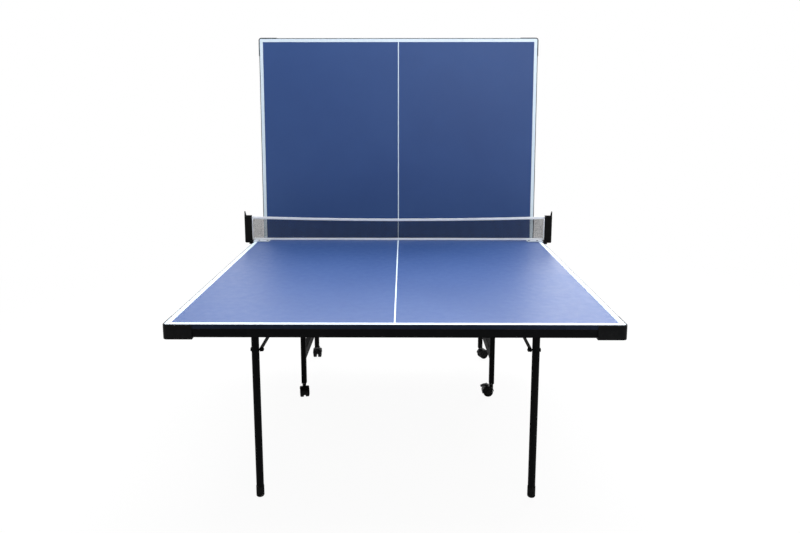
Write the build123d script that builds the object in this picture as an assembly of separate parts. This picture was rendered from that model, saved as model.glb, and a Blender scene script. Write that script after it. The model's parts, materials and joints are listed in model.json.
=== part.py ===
"""Folding table tennis table on a four-caster trolley, shown with one half flat and one half upright."""

import os
from math import cos, radians, sin

from build123d import *

# Playing surface, in millimetres, with y measured from the net plane and z from the floor
TABLE_WIDTH = 1525
HALF_LENGTH = 1370
TABLE_HEIGHT = 760
BOARD_THICKNESS = 15
NET_GAP = 3

# Sheet-metal apron round three edges of each half, and the guards over its two corners
SHEET = 2
APRON_DEPTH = 44
APRON_STEP = 1
GUARD_LIP = 1
FLANGE = 20
CORNER_RADIUS = 12
GUARD_THICKNESS = 3
GUARD_REACH = 98
GUARD_DEPTH = 51
GUARD_FLOOR_WIDTH = 15

# Fold pivot, leg pivot and link pivots: the four corners of a parallelogram
PIVOT_Y = 250
PIVOT_Z = 715
LEG_Y = 1132
LINK_DROP = 131
UPRIGHT_ANGLE = 88

# Layers across the table, on the right-hand side
RAIL_X = 447
TROLLEY_X = 480
LINK_X = 496.5
LEG_X = 516

# Frame under each board
RAIL_WIDTH = 25
RAIL_DEPTH = 14
RAIL_START = 30
CROSS_RAIL_DEPTH = 12
CROSS_RAIL_WIDTH = 30
CROSS_RAIL_STATIONS = (500, 850)
TUBE_WALL = 1.5
TUBE_CORNER = 2.5
HINGE_PLATE = 6
HINGE_PLATE_HALF_LENGTH = 62
HINGE_EYE = 15
BEARING_EYE = 15.8
BEARING_HALF_LENGTH = 32

# Folding legs
LEG_RADIUS = 14
LEG_TOP_RISE = 13
AXLE_RADIUS = 11
COLLAR_RADIUS = 14.5
COLLAR_LENGTH = 8
COLLAR_GAP = 0.5
FOOT_RADIUS = 15.2
FOOT_HEIGHT = 42
FOOT_FLOOR = 6

# Flat link bars
LINK_THICKNESS = 5
LINK_WIDTH = 16

# Pivot hardware
FOLD_BOLT_RADIUS = 5
LINK_BOLT_RADIUS = 4
HEX_FOLD = 17
HEX_LINK = 13
LINK_BOLT_HEAD = 3
NUT_HEIGHT = 7
THREAD_END = 2
PLAY = 0.2
NUT_GAP = 0.5
RUNNING = 0.06
OPENED = 0.3

# Trolley
TROLLEY_TUBE = 25
TROLLEY_TOP = 726
TROLLEY_FOOT = 68
SIDE_RAIL_SPANS = ((193, 244), (387.5, 412.5))
CROSS_TUBE_HEIGHTS = (400, 650)
CAP_THICKNESS = 2
BUMPER_Z = 588
BUMPER_RADIUS = 11
BUMPER_GAP = 0.5

# Twin-wheel casters: axis trails the swivel, the wheels stand either side of a web
WHEEL_RADIUS = 25
WHEEL_WIDTH = 18
WHEEL_ROUND = 5
WHEEL_CHAMFER = 2.5
WHEEL_GAP = 0.7
WHEEL_BORE_RADIUS = 3
CASTER_TRAIL = 18
WEB_HALF = 4
HOOD_HALF = 23.5
HOOD_ROUND = 4.2
HOOD_RADIUS = 30
HOOD_CLEARANCE = 1.2
HOOD_TOP = 63
SKIRT_TILT = 12
DISH_DEPTH = 3
DISH_OUTER = 0.76 * WHEEL_RADIUS
DISH_INNER = 0.36 * WHEEL_RADIUS
STEM_RADIUS = 5
STEM_TOP = 96
STEM_SINK = 14
STEM_COLLAR = 2
STEM_COLLAR_RADIUS = 8
STEM_CHAMFER = 1
SOCKET_FLOOR = 2
BOSS_RADIUS = 9.5
BRAKE_PIVOT = (-24, 58.5)
BRAKE_TIP = (-54, 51)
BRAKE_TIP_RADIUS = 2.2
BRAKE_HALF_WIDTH = 10
BRAKE_PIN_RADIUS = 1.5
BRAKE_PIN_REACH = 13.5
LEVER_EYE = 3
LEVER_KNEE_RADIUS = 1.8
LUG_RADIUS = 3.5
LUG_THICKNESS = 3
LUG_LOW = 53
CASTERS = {
    "near_left": (-1, -1, 12),
    "near_right": (1, -1, -90),
    "far_left": (-1, 1, 180),
    "far_right": (1, 1, 115),
}
BRAKED = ("near_right", "far_left")

# Net, its two bands, its posts and their clamps
NET_SPAN_HALF = 779
NET_TOP = 890
NET_SAG = 12.5
TOP_BAND = 13
BOTTOM_BAND_LOW = 761.5
BOTTOM_BAND = 12
BAND_THICKNESS = 3
NET_THICKNESS = 1.2
NET_THREAD = 2.4
NET_COLUMNS = 60
NET_ROWS = 5
POST_WIDTH = 38
POST_DEPTH = 16
POST_LOW = 748
POST_HIGH = 895.5
POST_FOOT_RADIUS = 7
POST_EDGE = 2.5
FIN_BASE = 9
FIN_TIP = 4
FIN_HIGH = 917
CLAMP_NEAR = 40
CLAMP_FAR = 6
CLAMP_SHEET = 3
CLAMP_INNER_X = 682
CLAMP_WEB_X = 766
CLAMP_LOW = 688
SCREW_X = 750
SCREW_Y = -23
SCREW_RADIUS = 4
PAD_RADIUS = 9
PAD_THICKNESS = 3.5
PAD_GAP = 0.5
KNOB_RADIUS = 16
KNOB_SCALLOPS = 6
SCALLOP_RADIUS = 5.3
SCALLOP_CIRCLE = 18
KNOB_LOW = 634
KNOB_HIGH = 648

# Values worked out from the sizes above
HALF_WIDTH = TABLE_WIDTH / 2
BOARD_LOW = TABLE_HEIGHT - BOARD_THICKNESS
APRON_LOW = TABLE_HEIGHT - APRON_DEPTH
RAIL_LOW = BOARD_LOW - RAIL_DEPTH
LINK_Z = PIVOT_Z - LINK_DROP
LINK_LENGTH = LEG_Y - PIVOT_Y
FOLD_AXIS = Axis((0, PIVOT_Y, PIVOT_Z), (1, 0, 0))
LINK_AXIS = Axis((0, PIVOT_Y, LINK_Z), (1, 0, 0))
LEG_LIFT = Vector(
    0,
    LINK_LENGTH * (cos(radians(UPRIGHT_ANGLE)) - 1),
    LINK_LENGTH * sin(radians(UPRIGHT_ANGLE)),
)
FRONT_REACH = HALF_LENGTH + GUARD_THICKNESS
REAR_REACH = PIVOT_Y - BRAKE_TIP[0] + BRAKE_TIP_RADIUS
ROW_SHIFT = Vector(0, (FRONT_REACH - REAR_REACH) / 2, 0)


def slab(x0, x1, y0, y1, z0, z1):
    centre = Pos((x0 + x1) / 2, (y0 + y1) / 2, (z0 + z1) / 2)
    return centre * Box(x1 - x0, y1 - y0, z1 - z0)


def rod_x(x0, x1, y, z, radius):
    return Pos((x0 + x1) / 2, y, z) * Rot(0, 90, 0) * Cylinder(radius, x1 - x0)


def rod_z(x, y, z0, z1, radius):
    return Pos(x, y, (z0 + z1) / 2) * Cylinder(radius, z1 - z0)


def hex_x(x0, x1, y, z, across_flats):
    outline = Pos(y, z) * RegularPolygon(across_flats / 2, 6, major_radius=False)
    return plate_x(outline, x0, x1)


def plate_x(outline, x0, x1):
    return extrude(Plane.YZ.offset(x0) * outline, amount=x1 - x0)


def hull(*outlines):
    return make_hull([edge for outline in outlines for edge in outline.edges()])


def disc(y, z, radius):
    return Pos(y, z) * Circle(radius)


def block(y0, y1, z0, z1):
    return Pos((y0 + y1) / 2, (z0 + z1) / 2) * Rectangle(y1 - y0, z1 - z0)


def square_tube(x0, x1, y0, y1, z0, z1, along):
    inset = {axis: 0 if axis == along else TUBE_WALL for axis in "xyz"}
    bore = slab(
        x0 + inset["x"], x1 - inset["x"],
        y0 + inset["y"], y1 - inset["y"],
        z0 + inset["z"], z1 - inset["z"],
    )
    return rounded(slab(x0, x1, y0, y1, z0, z1), along) - bore


def rounded(part, along):
    axis = {"x": Axis.X, "y": Axis.Y, "z": Axis.Z}[along]
    return fillet(part.edges().filter_by(axis), TUBE_CORNER)


def both_sides(part):
    return [mirror(part, about=Plane.YZ), part]


def plan(half_width, inner_y, outer_y, radius):
    middle = Pos(0, (inner_y + outer_y) / 2)
    outline = middle * Rectangle(2 * half_width, outer_y - inner_y)
    return fillet(outline.vertices().sort_by(Axis.Y)[-2:], radius)


def raise_plan(outline, z0, z1):
    return extrude(Pos(0, 0, z0) * outline, amount=z1 - z0)


# Parts of one half, built flat on the far side of the net plane
def make_board():
    outline = plan(HALF_WIDTH, NET_GAP, HALF_LENGTH, CORNER_RADIUS)
    return raise_plan(outline, BOARD_LOW, TABLE_HEIGHT)


def make_apron():
    open_end = NET_GAP - 1
    face = HALF_WIDTH - APRON_STEP
    end_face = HALF_LENGTH - APRON_STEP
    radius = CORNER_RADIUS - APRON_STEP
    outer = plan(face, NET_GAP, end_face, radius)
    inner = plan(face - SHEET, open_end, end_face - SHEET, radius - SHEET)
    core = plan(HALF_WIDTH - SHEET - FLANGE, open_end, HALF_LENGTH - SHEET - FLANGE, SHEET)
    web = raise_plan(outer - inner, APRON_LOW, BOARD_LOW)
    upper = raise_plan(outer - core, BOARD_LOW - SHEET, BOARD_LOW)
    lower = raise_plan(outer - core, APRON_LOW, APRON_LOW + SHEET)
    channel = web + upper + lower
    joint_y = HALF_LENGTH - SHEET - FLANGE
    end = channel & slab(-HALF_WIDTH, HALF_WIDTH, joint_y, HALF_LENGTH, APRON_LOW, TABLE_HEIGHT)
    side = channel & slab(0, HALF_WIDTH, NET_GAP, joint_y, APRON_LOW, TABLE_HEIGHT)
    return end, both_sides(side)


def make_corner_guard():
    outside = plan(
        HALF_WIDTH + GUARD_THICKNESS, NET_GAP, HALF_LENGTH + GUARD_THICKNESS,
        CORNER_RADIUS + GUARD_THICKNESS,
    )
    board = plan(HALF_WIDTH, NET_GAP, HALF_LENGTH, CORNER_RADIUS)
    inset = plan(
        HALF_WIDTH - GUARD_FLOOR_WIDTH, NET_GAP, HALF_LENGTH - GUARD_FLOOR_WIDTH, SHEET,
    )
    low = TABLE_HEIGHT - GUARD_DEPTH
    wall = raise_plan(outside - board, low, TABLE_HEIGHT - GUARD_LIP)
    floor = raise_plan(outside - inset, low, APRON_LOW)
    corner = slab(
        HALF_WIDTH + GUARD_THICKNESS - GUARD_REACH, HALF_WIDTH + GUARD_THICKNESS,
        HALF_LENGTH + GUARD_THICKNESS - GUARD_REACH, HALF_LENGTH + GUARD_THICKNESS,
        low, TABLE_HEIGHT,
    )
    guard = (wall + floor) & corner
    rim = guard.edges().filter_by(GeomType.CIRCLE).filter_by(
        lambda edge: edge.radius > CORNER_RADIUS + GUARD_THICKNESS / 2
    )
    return chamfer(rim.sort_by(Axis.Z)[:1], GUARD_THICKNESS / 2)


def make_frame_rail():
    return square_tube(
        RAIL_X - RAIL_WIDTH / 2, RAIL_X + RAIL_WIDTH / 2,
        RAIL_START, HALF_LENGTH - SHEET - FLANGE,
        RAIL_LOW, BOARD_LOW, "y",
    )


def make_cross_rails():
    rails = []
    inner = RAIL_X - RAIL_WIDTH / 2
    outer = RAIL_X + RAIL_WIDTH / 2
    apron = HALF_WIDTH - SHEET - FLANGE
    for station in CROSS_RAIL_STATIONS:
        for x0, x1 in ((-inner, inner), (outer, apron), (-apron, -outer)):
            rails.append(square_tube(
                x0, x1,
                station - CROSS_RAIL_WIDTH / 2, station + CROSS_RAIL_WIDTH / 2,
                BOARD_LOW - CROSS_RAIL_DEPTH, BOARD_LOW, "x",
            ))
    return rails


def make_hinge_plate():
    face = RAIL_X + RAIL_WIDTH / 2
    flank = block(
        PIVOT_Y - HINGE_PLATE_HALF_LENGTH, PIVOT_Y + HINGE_PLATE_HALF_LENGTH,
        RAIL_LOW, BOARD_LOW,
    )
    outline = hull(flank, disc(PIVOT_Y, PIVOT_Z, HINGE_EYE))
    outline -= disc(PIVOT_Y, PIVOT_Z, FOLD_BOLT_RADIUS + RUNNING)
    return plate_x(outline, face, face + HINGE_PLATE)


def make_leg_bearing():
    saddle = block(
        LEG_Y - BEARING_HALF_LENGTH, LEG_Y + BEARING_HALF_LENGTH,
        RAIL_LOW - 2 * SHEET, RAIL_LOW,
    )
    outline = hull(saddle, disc(LEG_Y, PIVOT_Z, BEARING_EYE))
    outline -= disc(LEG_Y, PIVOT_Z, AXLE_RADIUS + RUNNING)
    return plate_x(outline, RAIL_X - RAIL_WIDTH / 2, RAIL_X + RAIL_WIDTH / 2)


def make_leg():
    top = PIVOT_Z + LEG_TOP_RISE
    leg = rod_z(LEG_X, LEG_Y, FOOT_FLOOR, top, LEG_RADIUS)
    leg -= rod_z(LEG_X, LEG_Y, FOOT_FLOOR, top - SHEET, LEG_RADIUS - TUBE_WALL)
    leg -= rod_x(LEG_X - 2 * LEG_RADIUS, LEG_X + 2 * LEG_RADIUS, LEG_Y, LINK_Z, LINK_BOLT_RADIUS)
    return chamfer(leg.edges().sort_by(Axis.Z)[-1:], TUBE_WALL)


def make_leg_crossbar():
    bar = rod_x(-LEG_X, LEG_X, LEG_Y, PIVOT_Z, AXLE_RADIUS)
    collar_start = RAIL_X + RAIL_WIDTH / 2 + COLLAR_GAP
    collar = rod_x(collar_start, collar_start + COLLAR_LENGTH, LEG_Y, PIVOT_Z, COLLAR_RADIUS)
    for side in both_sides(collar):
        bar += side
    bar -= rod_x(-LEG_X, LEG_X, LEG_Y, PIVOT_Z, AXLE_RADIUS - TUBE_WALL)
    for side in both_sides(rod_z(LEG_X, LEG_Y, 0, TABLE_HEIGHT, LEG_RADIUS)):
        bar -= side
    return bar


def make_foot():
    foot = rod_z(LEG_X, LEG_Y, 0, FOOT_HEIGHT, FOOT_RADIUS)
    foot = fillet(foot.edges().sort_by(Axis.Z)[:1], FOOT_RADIUS / 3)
    foot = chamfer(foot.edges().sort_by(Axis.Z)[-1:], (FOOT_RADIUS - LEG_RADIUS) / 2)
    return foot - rod_z(LEG_X, LEG_Y, FOOT_FLOOR, FOOT_HEIGHT, LEG_RADIUS)


def make_leg_bolt():
    outer = LEG_X + LEG_RADIUS
    nut = LINK_X - LINK_THICKNESS / 2 - NUT_GAP
    bolt = rod_x(nut - NUT_HEIGHT - THREAD_END, outer, LEG_Y, LINK_Z, LINK_BOLT_RADIUS)
    bolt += hex_x(outer, outer + LINK_BOLT_HEAD, LEG_Y, LINK_Z, HEX_LINK)
    bolt += hex_x(nut - NUT_HEIGHT, nut, LEG_Y, LINK_Z, HEX_LINK)
    return bolt


def make_link():
    bar = hull(disc(PIVOT_Y, LINK_Z, LINK_WIDTH / 2), disc(LEG_Y, LINK_Z, LINK_WIDTH / 2))
    bar -= disc(PIVOT_Y, LINK_Z, LINK_BOLT_RADIUS + RUNNING)
    bar -= disc(LEG_Y, LINK_Z, LINK_BOLT_RADIUS + OPENED)
    return plate_x(bar, LINK_X - LINK_THICKNESS / 2, LINK_X + LINK_THICKNESS / 2)


# Trolley parts, each built for one of the four legs and repeated
def four_corners(part):
    return [side for end in (mirror(part, about=Plane.XZ), part) for side in both_sides(end)]


def make_trolley_leg():
    half = TROLLEY_TUBE / 2
    leg = square_tube(
        TROLLEY_X - half, TROLLEY_X + half, PIVOT_Y - half, PIVOT_Y + half,
        TROLLEY_FOOT, TROLLEY_TOP, "z",
    )
    leg -= rod_x(TROLLEY_X - TROLLEY_TUBE, TROLLEY_X, PIVOT_Y, PIVOT_Z, FOLD_BOLT_RADIUS)
    leg -= rod_x(
        TROLLEY_X - TROLLEY_TUBE, TROLLEY_X + TROLLEY_TUBE, PIVOT_Y, LINK_Z, LINK_BOLT_RADIUS,
    )
    return leg


def make_trolley_cap():
    half = TROLLEY_TUBE / 2
    inner = half - TUBE_WALL
    cap = slab(
        TROLLEY_X - half, TROLLEY_X + half, PIVOT_Y - half, PIVOT_Y + half,
        TROLLEY_TOP, TROLLEY_TOP + CAP_THICKNESS,
    )
    cap = rounded(cap, "z")
    cap = chamfer(cap.faces().sort_by(Axis.Z)[-1].edges(), CAP_THICKNESS / 2)
    plug = slab(
        TROLLEY_X - inner, TROLLEY_X + inner, PIVOT_Y - inner, PIVOT_Y + inner,
        PIVOT_Z + FOLD_BOLT_RADIUS + 1, TROLLEY_TOP,
    )
    return cap + plug


def make_side_rails():
    half = TROLLEY_TUBE / 2
    rails = []
    for low, high in SIDE_RAIL_SPANS:
        rails += both_sides(square_tube(
            TROLLEY_X - half, TROLLEY_X + half, half - PIVOT_Y, PIVOT_Y - half, low, high, "y",
        ))
    return rails


def make_cross_tubes():
    half = TROLLEY_TUBE / 2
    tubes = []
    for height in CROSS_TUBE_HEIGHTS:
        for y in (-PIVOT_Y, PIVOT_Y):
            tubes.append(square_tube(
                half - TROLLEY_X, TROLLEY_X - half, y - half, y + half,
                height - half, height + half, "x",
            ))
    return tubes


def make_fold_bolt():
    plate_face = RAIL_X + RAIL_WIDTH / 2
    tube_face = TROLLEY_X - TROLLEY_TUBE / 2
    washer_face = plate_face + HINGE_PLATE + PLAY
    head = plate_face - PLAY
    tube_back = TROLLEY_X + TROLLEY_TUBE / 2 - TUBE_WALL
    bolt = rod_x(head, tube_back, PIVOT_Y, PIVOT_Z, FOLD_BOLT_RADIUS)
    bolt += hex_x(head - NUT_HEIGHT, head, PIVOT_Y, PIVOT_Z, HEX_FOLD)
    bolt += rod_x(washer_face, tube_face, PIVOT_Y, PIVOT_Z, 2 * FOLD_BOLT_RADIUS)
    return bolt


def make_link_bolt():
    head = LINK_X + LINK_THICKNESS / 2 + NUT_GAP
    tube_outer = TROLLEY_X + TROLLEY_TUBE / 2
    tube_inner = TROLLEY_X - TROLLEY_TUBE / 2
    washer_face = LINK_X - LINK_THICKNESS / 2 - PLAY
    nut_end = tube_inner - NUT_HEIGHT
    bolt = rod_x(nut_end - THREAD_END, head, PIVOT_Y, LINK_Z, LINK_BOLT_RADIUS)
    bolt += hex_x(head, head + LINK_BOLT_HEAD, PIVOT_Y, LINK_Z, HEX_LINK)
    bolt += hex_x(nut_end, tube_inner, PIVOT_Y, LINK_Z, HEX_LINK)
    bolt += rod_x(tube_outer, washer_face, PIVOT_Y, LINK_Z, 2 * LINK_BOLT_RADIUS)
    return bolt


def make_bumper():
    face = PIVOT_Y - TROLLEY_TUBE / 2
    lean = radians(UPRIGHT_ANGLE)
    below = BUMPER_Z - BUMPER_RADIUS - PIVOT_Z
    board_back = PIVOT_Y - (BOARD_LOW - PIVOT_Z - below * cos(lean)) / sin(lean)
    length = face - board_back - 2 * BUMPER_GAP
    bumper = Pos(TROLLEY_X, face - length / 2, BUMPER_Z) * Rot(90, 0, 0) * Cylinder(BUMPER_RADIUS, length)
    return chamfer(bumper.edges().sort_by(Axis.Y)[:1], BUMPER_RADIUS / 5)


def make_caster_socket():
    half = TROLLEY_TUBE / 2
    inner = half - TUBE_WALL
    flange = slab(
        TROLLEY_X - half, TROLLEY_X + half, PIVOT_Y - half, PIVOT_Y + half,
        TROLLEY_FOOT - CAP_THICKNESS, TROLLEY_FOOT,
    )
    plug = slab(
        TROLLEY_X - inner, TROLLEY_X + inner, PIVOT_Y - inner, PIVOT_Y + inner,
        TROLLEY_FOOT, STEM_TOP + SOCKET_FLOOR,
    )
    bore_top = STEM_TOP + 2 * SOCKET_FLOOR
    bore = rod_z(TROLLEY_X, PIVOT_Y, TROLLEY_FOOT - 2 * CAP_THICKNESS, bore_top, STEM_RADIUS + RUNNING)
    return rounded(flange, "z") + plug - bore


# Caster parts, built about the swivel axis with the wheels trailing towards -y
def make_hood():
    hub = (-CASTER_TRAIL, WHEEL_RADIUS)
    shell = rod_x(-HOOD_HALF, HOOD_HALF, *hub, HOOD_RADIUS)
    shell = fillet(shell.edges(), HOOD_ROUND)
    skirt = Pos(0, *hub) * Rot(SKIRT_TILT, 0, 0) * Pos(0, 0, -HOOD_RADIUS) * Box(
        3 * HOOD_HALF, 3 * HOOD_RADIUS, 2 * HOOD_RADIUS
    )
    shell -= skirt
    shell += rod_z(0, 0, WHEEL_RADIUS + HOOD_RADIUS / 2, HOOD_TOP, BOSS_RADIUS)
    cavity = rod_x(WEB_HALF, 2 * HOOD_HALF, *hub, WHEEL_RADIUS + HOOD_CLEARANCE)
    for side in both_sides(cavity):
        shell -= side
    shell += rod_x(-WEB_HALF, WEB_HALF, *hub, 3 * WHEEL_BORE_RADIUS)
    shell -= rod_x(-WEB_HALF, WEB_HALF, *hub, WHEEL_BORE_RADIUS)
    shell -= rod_z(0, 0, HOOD_TOP - STEM_SINK, HOOD_TOP, STEM_RADIUS)
    return shell


def make_brake_lugs():
    y = BRAKE_PIVOT[0]
    lug = hull(disc(*BRAKE_PIVOT, LUG_RADIUS), block(y - LUG_RADIUS, y + LUG_RADIUS, LUG_LOW, LUG_LOW + 1))
    lug -= disc(*BRAKE_PIVOT, BRAKE_PIN_RADIUS + RUNNING)
    face = BRAKE_PIN_REACH - LUG_THICKNESS
    return both_sides(plate_x(lug, face, face + LUG_THICKNESS))


def make_caster_pins():
    reach = HOOD_HALF - WEB_HALF - 1
    axle = rod_x(-reach, reach, -CASTER_TRAIL, WHEEL_RADIUS, WHEEL_BORE_RADIUS)
    stem = rod_z(0, 0, HOOD_TOP - STEM_SINK, STEM_TOP, STEM_RADIUS)
    stem += rod_z(0, 0, HOOD_TOP, HOOD_TOP + STEM_COLLAR, STEM_COLLAR_RADIUS)
    return [axle, chamfer(stem.edges().sort_by(Axis.Z)[-1:], STEM_CHAMFER)]


def make_wheels():
    start = WEB_HALF + WHEEL_GAP
    end = start + WHEEL_WIDTH
    hub = (-CASTER_TRAIL, WHEEL_RADIUS)
    wheel = rod_x(start, end, *hub, WHEEL_RADIUS)
    rims = wheel.edges().filter_by(GeomType.CIRCLE).sort_by(Axis.X)
    wheel = chamfer(rims[:1], WHEEL_CHAMFER)
    wheel = fillet(wheel.edges().filter_by(GeomType.CIRCLE).sort_by(Axis.X)[-1:], WHEEL_ROUND)
    wheel -= rod_x(end - DISH_DEPTH, end, *hub, DISH_OUTER) - rod_x(end - DISH_DEPTH, end, *hub, DISH_INNER)
    wheel -= rod_x(start, end, *hub, WHEEL_BORE_RADIUS + RUNNING)
    return both_sides(wheel)


def make_brake_lever():
    knee = disc((BRAKE_PIVOT[0] + BRAKE_TIP[0]) / 2, BRAKE_PIVOT[1], LEVER_KNEE_RADIUS)
    pedal = hull(disc(*BRAKE_PIVOT, LEVER_EYE), knee) + hull(knee, disc(*BRAKE_TIP, BRAKE_TIP_RADIUS))
    lever = plate_x(pedal, -BRAKE_HALF_WIDTH, BRAKE_HALF_WIDTH)
    return lever + rod_x(-BRAKE_PIN_REACH, BRAKE_PIN_REACH, *BRAKE_PIVOT, BRAKE_PIN_RADIUS)


def place_caster(part, name):
    side, end, turn = CASTERS[name]
    return Pos(side * TROLLEY_X, end * PIVOT_Y, 0) * Rot(0, 0, turn) * part


# Net set, carried by the near half
def net_edge(drop):
    end = NET_TOP - drop
    return ThreePointArc((-NET_SPAN_HALF, end), (0, end - NET_SAG), (NET_SPAN_HALF, end))


def make_top_band():
    upper = net_edge(0)
    lower = net_edge(TOP_BAND)
    outline = make_face([upper, Line(upper @ 1, lower @ 1), lower, Line(lower @ 0, upper @ 0)])
    return extrude(Plane.XZ * outline, amount=BAND_THICKNESS / 2, both=True)


def make_bottom_band():
    return slab(
        -NET_SPAN_HALF, NET_SPAN_HALF, -BAND_THICKNESS / 2, BAND_THICKNESS / 2,
        BOTTOM_BAND_LOW, BOTTOM_BAND_LOW + BOTTOM_BAND,
    )


def make_net_mesh():
    low = BOTTOM_BAND_LOW + BOTTOM_BAND
    edge = net_edge(TOP_BAND)
    left = Line((-NET_SPAN_HALF, low), edge @ 0)
    base = Line((-NET_SPAN_HALF, low), (NET_SPAN_HALF, low))
    right = Line((NET_SPAN_HALF, low), edge @ 1)
    sheet = make_face([left, edge, right, base])
    pitch = 2 * NET_SPAN_HALF / NET_COLUMNS
    gaps = []
    for column in range(NET_COLUMNS):
        x = -NET_SPAN_HALF + (column + 0.5) * pitch
        droop = NET_SAG * (1 - (x / NET_SPAN_HALF) ** 2)
        step = (NET_TOP - TOP_BAND - droop - low - NET_THREAD) / NET_ROWS
        for row in range(NET_ROWS):
            z = low + NET_THREAD / 2 + (row + 0.5) * step
            gaps.append(Pos(x, z) * Rectangle(pitch - NET_THREAD, step - NET_THREAD))
    return extrude(Plane.XZ * (sheet - gaps), amount=NET_THICKNESS / 2, both=True)


def make_net_post():
    inner = NET_SPAN_HALF
    outer = NET_SPAN_HALF + POST_WIDTH
    half = POST_DEPTH / 2
    outline = block(inner, outer, POST_LOW, POST_HIGH)
    outline = fillet(outline.vertices().sort_by(Axis.Y)[:2], POST_FOOT_RADIUS)
    post = extrude(Plane.XZ * outline, amount=half, both=True)
    rims = post.faces().sort_by(Axis.Y)[0].edges() + post.faces().sort_by(Axis.Y)[-1].edges()
    post = fillet(rims, POST_EDGE)
    wedge = make_face(Polyline(
        (outer - FIN_BASE, POST_HIGH - POST_EDGE), (outer, POST_HIGH - POST_EDGE),
        (outer, FIN_HIGH), (outer - FIN_TIP, FIN_HIGH), close=True,
    ))
    fin = extrude(Plane.XZ * wedge, amount=half / 2, both=True)
    arm = slab(
        CLAMP_WEB_X, inner + half, -CLAMP_NEAR, -BAND_THICKNESS, POST_LOW, TABLE_HEIGHT + CLAMP_SHEET,
    )
    web = slab(CLAMP_WEB_X, CLAMP_WEB_X + CLAMP_SHEET, -CLAMP_NEAR, -CLAMP_FAR, CLAMP_LOW, TABLE_HEIGHT)
    upper = slab(
        CLAMP_INNER_X, CLAMP_WEB_X, -CLAMP_NEAR, -CLAMP_FAR,
        TABLE_HEIGHT, TABLE_HEIGHT + CLAMP_SHEET,
    )
    lower = slab(
        SCREW_X - 2 * PAD_RADIUS, CLAMP_WEB_X + CLAMP_SHEET, -CLAMP_NEAR, -CLAMP_FAR,
        CLAMP_LOW, CLAMP_LOW + 2 * CLAMP_SHEET,
    )
    lower -= rod_z(SCREW_X, SCREW_Y, CLAMP_LOW, CLAMP_LOW + 2 * CLAMP_SHEET, SCREW_RADIUS + RUNNING)
    return post + fin + arm + web + upper + lower


def make_clamp_screw():
    pad_top = APRON_LOW - PAD_GAP
    screw = rod_z(SCREW_X, SCREW_Y, KNOB_HIGH, pad_top - PAD_THICKNESS, SCREW_RADIUS)
    screw += rod_z(SCREW_X, SCREW_Y, pad_top - PAD_THICKNESS, pad_top, PAD_RADIUS)
    scallops = PolarLocations(SCALLOP_CIRCLE, KNOB_SCALLOPS) * Circle(SCALLOP_RADIUS)
    knob = Circle(KNOB_RADIUS) - scallops
    return screw + raise_plan(Pos(SCREW_X, SCREW_Y) * knob, KNOB_LOW, KNOB_HIGH)


# The whole table, in its photographed pose
def near(parts):
    return [mirror(part, about=Plane.XZ) for part in parts]


def far_board(parts):
    return [part.rotate(FOLD_AXIS, UPRIGHT_ANGLE) for part in parts]


def far_legs(parts):
    return [part.translate(LEG_LIFT) for part in parts]


def far_links(parts):
    return [part.rotate(LINK_AXIS, UPRIGHT_ANGLE) for part in parts]


def build_nodes():
    nodes = {}
    end_apron, side_aprons = make_apron()
    half = {
        "board": [make_board()],
        "end_apron": [end_apron],
        "side_aprons": side_aprons,
        "corner_guards": both_sides(make_corner_guard()),
        "frame_rails": both_sides(make_frame_rail()),
        "cross_rails": make_cross_rails(),
        "hinge_plates": both_sides(make_hinge_plate()),
        "leg_bearings": both_sides(make_leg_bearing()),
    }
    left_leg, right_leg = both_sides(make_leg())
    legs = {
        "leg_left": [left_leg],
        "leg_right": [right_leg],
        "leg_crossbar": [make_leg_crossbar()],
        "feet": both_sides(make_foot()),
        "leg_bolts": both_sides(make_leg_bolt()),
    }
    left_link, right_link = both_sides(make_link())
    links = {"link_left": [left_link], "link_right": [right_link]}
    for group, upright in ((half, far_board), (legs, far_legs), (links, far_links)):
        for name, parts in group.items():
            nodes["near_" + name] = near(parts)
            nodes["far_" + name] = upright(parts)

    nodes["trolley_legs"] = four_corners(make_trolley_leg())
    nodes["trolley_leg_caps"] = four_corners(make_trolley_cap())
    nodes["trolley_side_rails"] = make_side_rails()
    nodes["trolley_cross_tubes"] = make_cross_tubes()
    nodes["fold_pivot_bolts"] = four_corners(make_fold_bolt())
    nodes["link_pivot_bolts"] = four_corners(make_link_bolt())
    nodes["upright_bumpers"] = four_corners(make_bumper())
    nodes["caster_sockets"] = four_corners(make_caster_socket())

    hood, pins, wheels, lugs = make_hood(), make_caster_pins(), make_wheels(), make_brake_lugs()
    for name in CASTERS:
        shell = hood + lugs if name in BRAKED else hood
        nodes[f"caster_{name}_hood"] = [place_caster(shell, name)]
        nodes[f"caster_{name}_pins"] = [place_caster(pin, name) for pin in pins]
        nodes[f"caster_{name}_wheels"] = [place_caster(wheel, name) for wheel in wheels]
    lever = make_brake_lever()
    for name in BRAKED:
        nodes[f"brake_lever_{name}"] = [place_caster(lever, name)]

    nodes["net_mesh"] = [make_net_mesh()]
    nodes["net_top_band"] = [make_top_band()]
    nodes["net_bottom_band"] = [make_bottom_band()]
    left_post, right_post = both_sides(make_net_post())
    nodes["net_post_left"] = [left_post]
    nodes["net_post_right"] = [right_post]
    left_screw, right_screw = both_sides(make_clamp_screw())
    nodes["clamp_screw_left"] = [left_screw]
    nodes["clamp_screw_right"] = [right_screw]
    return nodes


def main():
    os.makedirs("parts", exist_ok=True)
    whole = []
    for name, parts in build_nodes().items():
        solids = [solid for part in parts for solid in part.translate(ROW_SHIFT).solids()]
        export_step(Compound(solids) if len(solids) > 1 else solids[0], f"parts/{name}.step")
        whole += solids
    box = Compound(whole).bounding_box()
    print("solids", len(whole), "low", box.min, "high", box.max)


if __name__ == "__main__":
    main()
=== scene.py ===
import json
import math

import bpy
from mathutils import Matrix, Vector


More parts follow.
